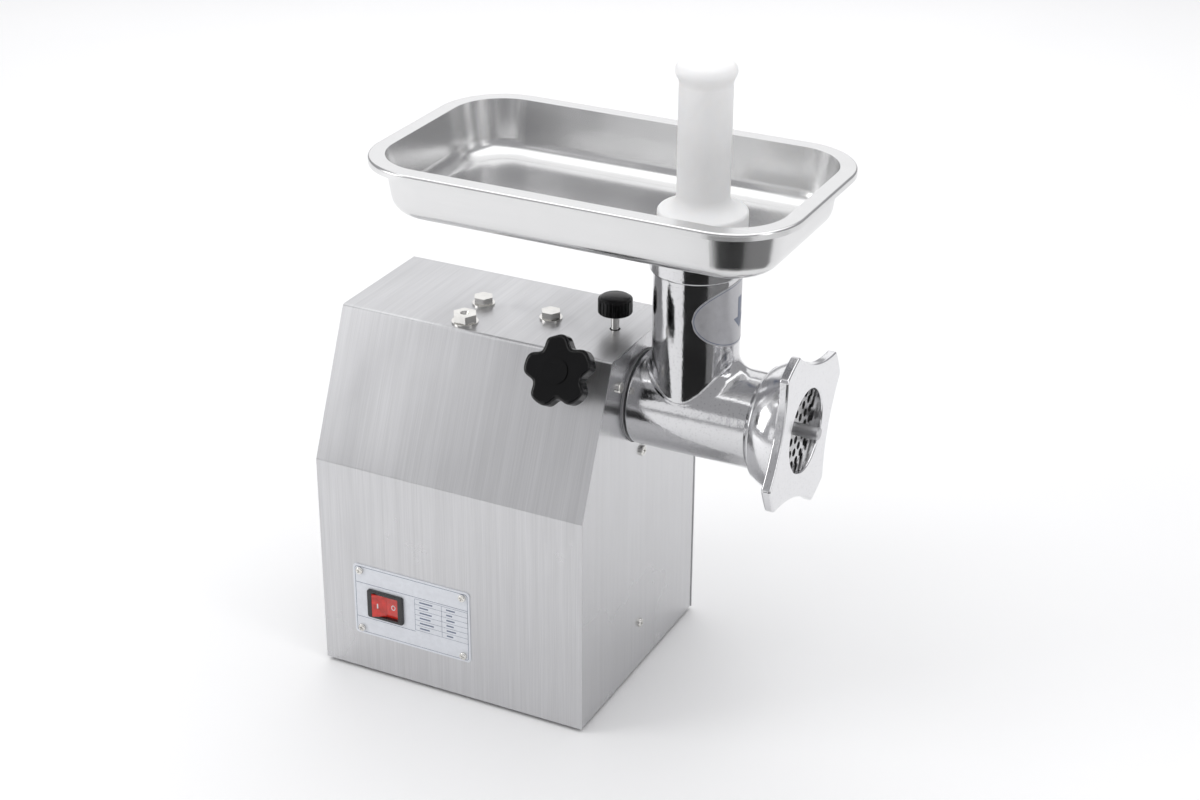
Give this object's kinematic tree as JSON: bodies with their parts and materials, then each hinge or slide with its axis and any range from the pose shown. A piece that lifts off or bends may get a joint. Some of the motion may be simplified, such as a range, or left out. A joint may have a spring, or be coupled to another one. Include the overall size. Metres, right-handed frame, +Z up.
{
  "type": "electric meat grinder",
  "caption": "Countertop electric meat grinder: folded steel housing with motor and gearbox, cast head with auger, knife, plate and ring nut, feed tray and pusher.",
  "frame": {"origin": "on the floor under the middle of the housing, at the level of the feet", "axes": "+X out along the grinding head, -Y the switch side, +Z up"},
  "size_m": [0.3687, 0.1993, 0.4908],
  "materials": {
    "steel_sheet": "vertical brushed grain",
    "base_sheet": "mill finish sheet",
    "tray_steel": "polished pressed sheet",
    "foot_rubber": "moulded",
    "bright_fastener": "zinc plated",
    "plate_foil": "satin foil",
    "switch_black": "moulded",
    "rocker_red": "translucent moulded",
    "terminal_brass": "stamped",
    "can_aluminium": "drawn can",
    "gland_nylon": "moulded nylon",
    "cast_aluminium": "sand cast",
    "lamination_steel": "stacked laminations",
    "copper_winding": "varnished copper wire",
    "bearing_steel": "ground",
    "shaft_steel": "ground",
    "gear_steel": "hobbed, oiled",
    "fan_plastic": "moulded",
    "gasket_fibre": "fibre sheet",
    "bush_bronze": "sintered bronze",
    "seal_rubber": "moulded",
    "washer_nylon": "nylon",
    "cast_head": "polished casting",
    "cast_ring": "polished casting",
    "auger_iron": "cast",
    "blade_steel": "ground",
    "label_silver": "printed foil",
    "pusher_plastic": "waxy translucent",
    "knob_black": "moulded"
  },
  "bodies": {
    "casing": {"housing_shell": "steel_sheet", "drive_end_panel": "steel_sheet", "rear_end_panel": "steel_sheet", "base_plate": "base_sheet", "rubber_feet": "foot_rubber", "base_screws": "bright_fastener", "chassis_nuts": "bright_fastener", "panel_screws": "bright_fastener", "rating_plate": "plate_foil", "rating_plate_screws": "bright_fastener", "switch_body": "switch_black", "switch_terminals": "terminal_brass", "capacitor": "can_aluminium", "capacitor_clamp": "base_sheet", "cable_gland": "gland_nylon", "gland_nut": "gland_nylon", "drive_end_bell": "cast_aluminium", "rear_bell": "cast_aluminium", "motor_stator": "lamination_steel", "motor_windings": "copper_winding", "motor_bolts": "bright_fastener", "motor_bearings": "bearing_steel", "motor_cradle": "base_sheet", "motor_hanger": "base_sheet", "gearbox_cover": "cast_aluminium", "gearbox_gasket": "gasket_fibre", "gearbox_housing": "cast_aluminium", "cover_bolts": "bright_fastener", "output_bearings": "bearing_steel", "layshaft_bushes": "bush_bronze", "oil_seals": "seal_rubber", "top_bolts": "bright_fastener", "earth_bolt": "bright_fastener", "top_washers": "bright_fastener"},
    "rotor": {"motor_shaft": "shaft_steel", "rotor_core": "lamination_steel", "motor_pinion": "gear_steel", "cooling_fan": "fan_plastic"},
    "countershaft": {"layshaft": "shaft_steel", "layshaft_gear": "gear_steel", "layshaft_pinion": "gear_steel"},
    "output": {"output_shaft": "shaft_steel", "output_gear": "gear_steel"},
    "head": {"grinder_head": "cast_head", "auger_bush": "bush_bronze", "thrust_washer": "washer_nylon", "plate_pin": "shaft_steel", "feed_label": "label_silver"},
    "feed_screw": {"auger": "auger_iron", "auger_stud": "auger_iron", "knife": "blade_steel"},
    "plate": {"grinder_plate": "blade_steel"},
    "ring": {"ring_nut": "cast_ring"},
    "tray": {"feed_tray": "tray_steel"},
    "stomper": {"pusher": "pusher_plastic"},
    "side_screw": {"star_stud": "bright_fastener"},
    "side_knob": {"star_knob": "knob_black"},
    "top_screw": {"top_stud": "bright_fastener"},
    "top_grip": {"top_knob": "knob_black"},
    "rocker_switch": {"rocker": "rocker_red"}
  },
  "joints": [
    {"name": "motor_spin", "type": "hinge", "parent": "casing", "child": "rotor", "pos_m": [0, 0, 0.138], "axis": [1, 0, 0], "continuous": true},
    {"name": "layshaft_spin", "type": "hinge", "parent": "casing", "child": "countershaft", "pos_m": [0, 0, 0.186], "axis": [1, 0, 0], "continuous": true},
    {"name": "output_spin", "type": "hinge", "parent": "casing", "child": "output", "pos_m": [0, 0, 0.234], "axis": [1, 0, 0], "continuous": true},
    {"name": "head_slide", "type": "slide", "parent": "casing", "child": "head", "axis": [1, 0, 0], "range_m": [0, 0.045]},
    {"name": "auger_spin", "type": "hinge", "parent": "head", "child": "feed_screw", "pos_m": [0, 0, 0.234], "axis": [1, 0, 0], "continuous": true},
    {"name": "plate_slide", "type": "slide", "parent": "head", "child": "plate", "axis": [1, 0, 0], "range_m": [0, 0.0101]},
    {"name": "ring_turn", "type": "hinge", "parent": "plate", "child": "ring", "pos_m": [0, 0, 0.234], "axis": [1, 0, 0], "range_deg": [0, 900]},
    {"name": "tray_lift", "type": "slide", "parent": "head", "child": "tray", "axis": [0, 0, 1], "range_m": [0, 0.03]},
    {"name": "pusher_lift", "type": "slide", "parent": "tray", "child": "stomper", "axis": [0, 0, 1], "range_m": [0, 0.11]},
    {"name": "side_screw_slide", "type": "slide", "parent": "casing", "child": "side_screw", "axis": [0, -0.866, 0.5], "range_m": [0, 0.0045]},
    {"name": "side_knob_turn", "type": "hinge", "parent": "side_screw", "child": "side_knob", "pos_m": [0.0855, -0.08314, 0.282], "axis": [0, -0.866, 0.5], "range_deg": [0, 1085]},
    {"name": "top_screw_slide", "type": "slide", "parent": "casing", "child": "top_screw", "axis": [0, 0, 1], "range_m": [0, 0.004]},
    {"name": "top_knob_turn", "type": "hinge", "parent": "top_screw", "child": "top_grip", "pos_m": [0.087, 0, 0.3], "axis": [0, 0, 1], "range_deg": [0, 1446]},
    {"name": "rocker_tilt", "type": "hinge", "parent": "casing", "child": "rocker_switch", "pos_m": [-0.0543, -0.0948, 0.063], "axis": [0, 0, -1], "range_deg": [0, 24]}
  ],
  "couplings": [
    {"joint": "layshaft_spin", "follows": "motor_spin", "ratio": -0.33333},
    {"joint": "output_spin", "follows": "motor_spin", "ratio": 0.11111},
    {"joint": "auger_spin", "follows": "motor_spin", "ratio": 0.11111},
    {"joint": "plate_slide", "follows": "ring_turn", "m_per_rad": 0.00063662},
    {"joint": "side_knob_turn", "follows": "side_screw_slide", "rad_per_m": 4188.8},
    {"joint": "top_knob_turn", "follows": "top_screw_slide", "rad_per_m": 6283.2}
  ]
}
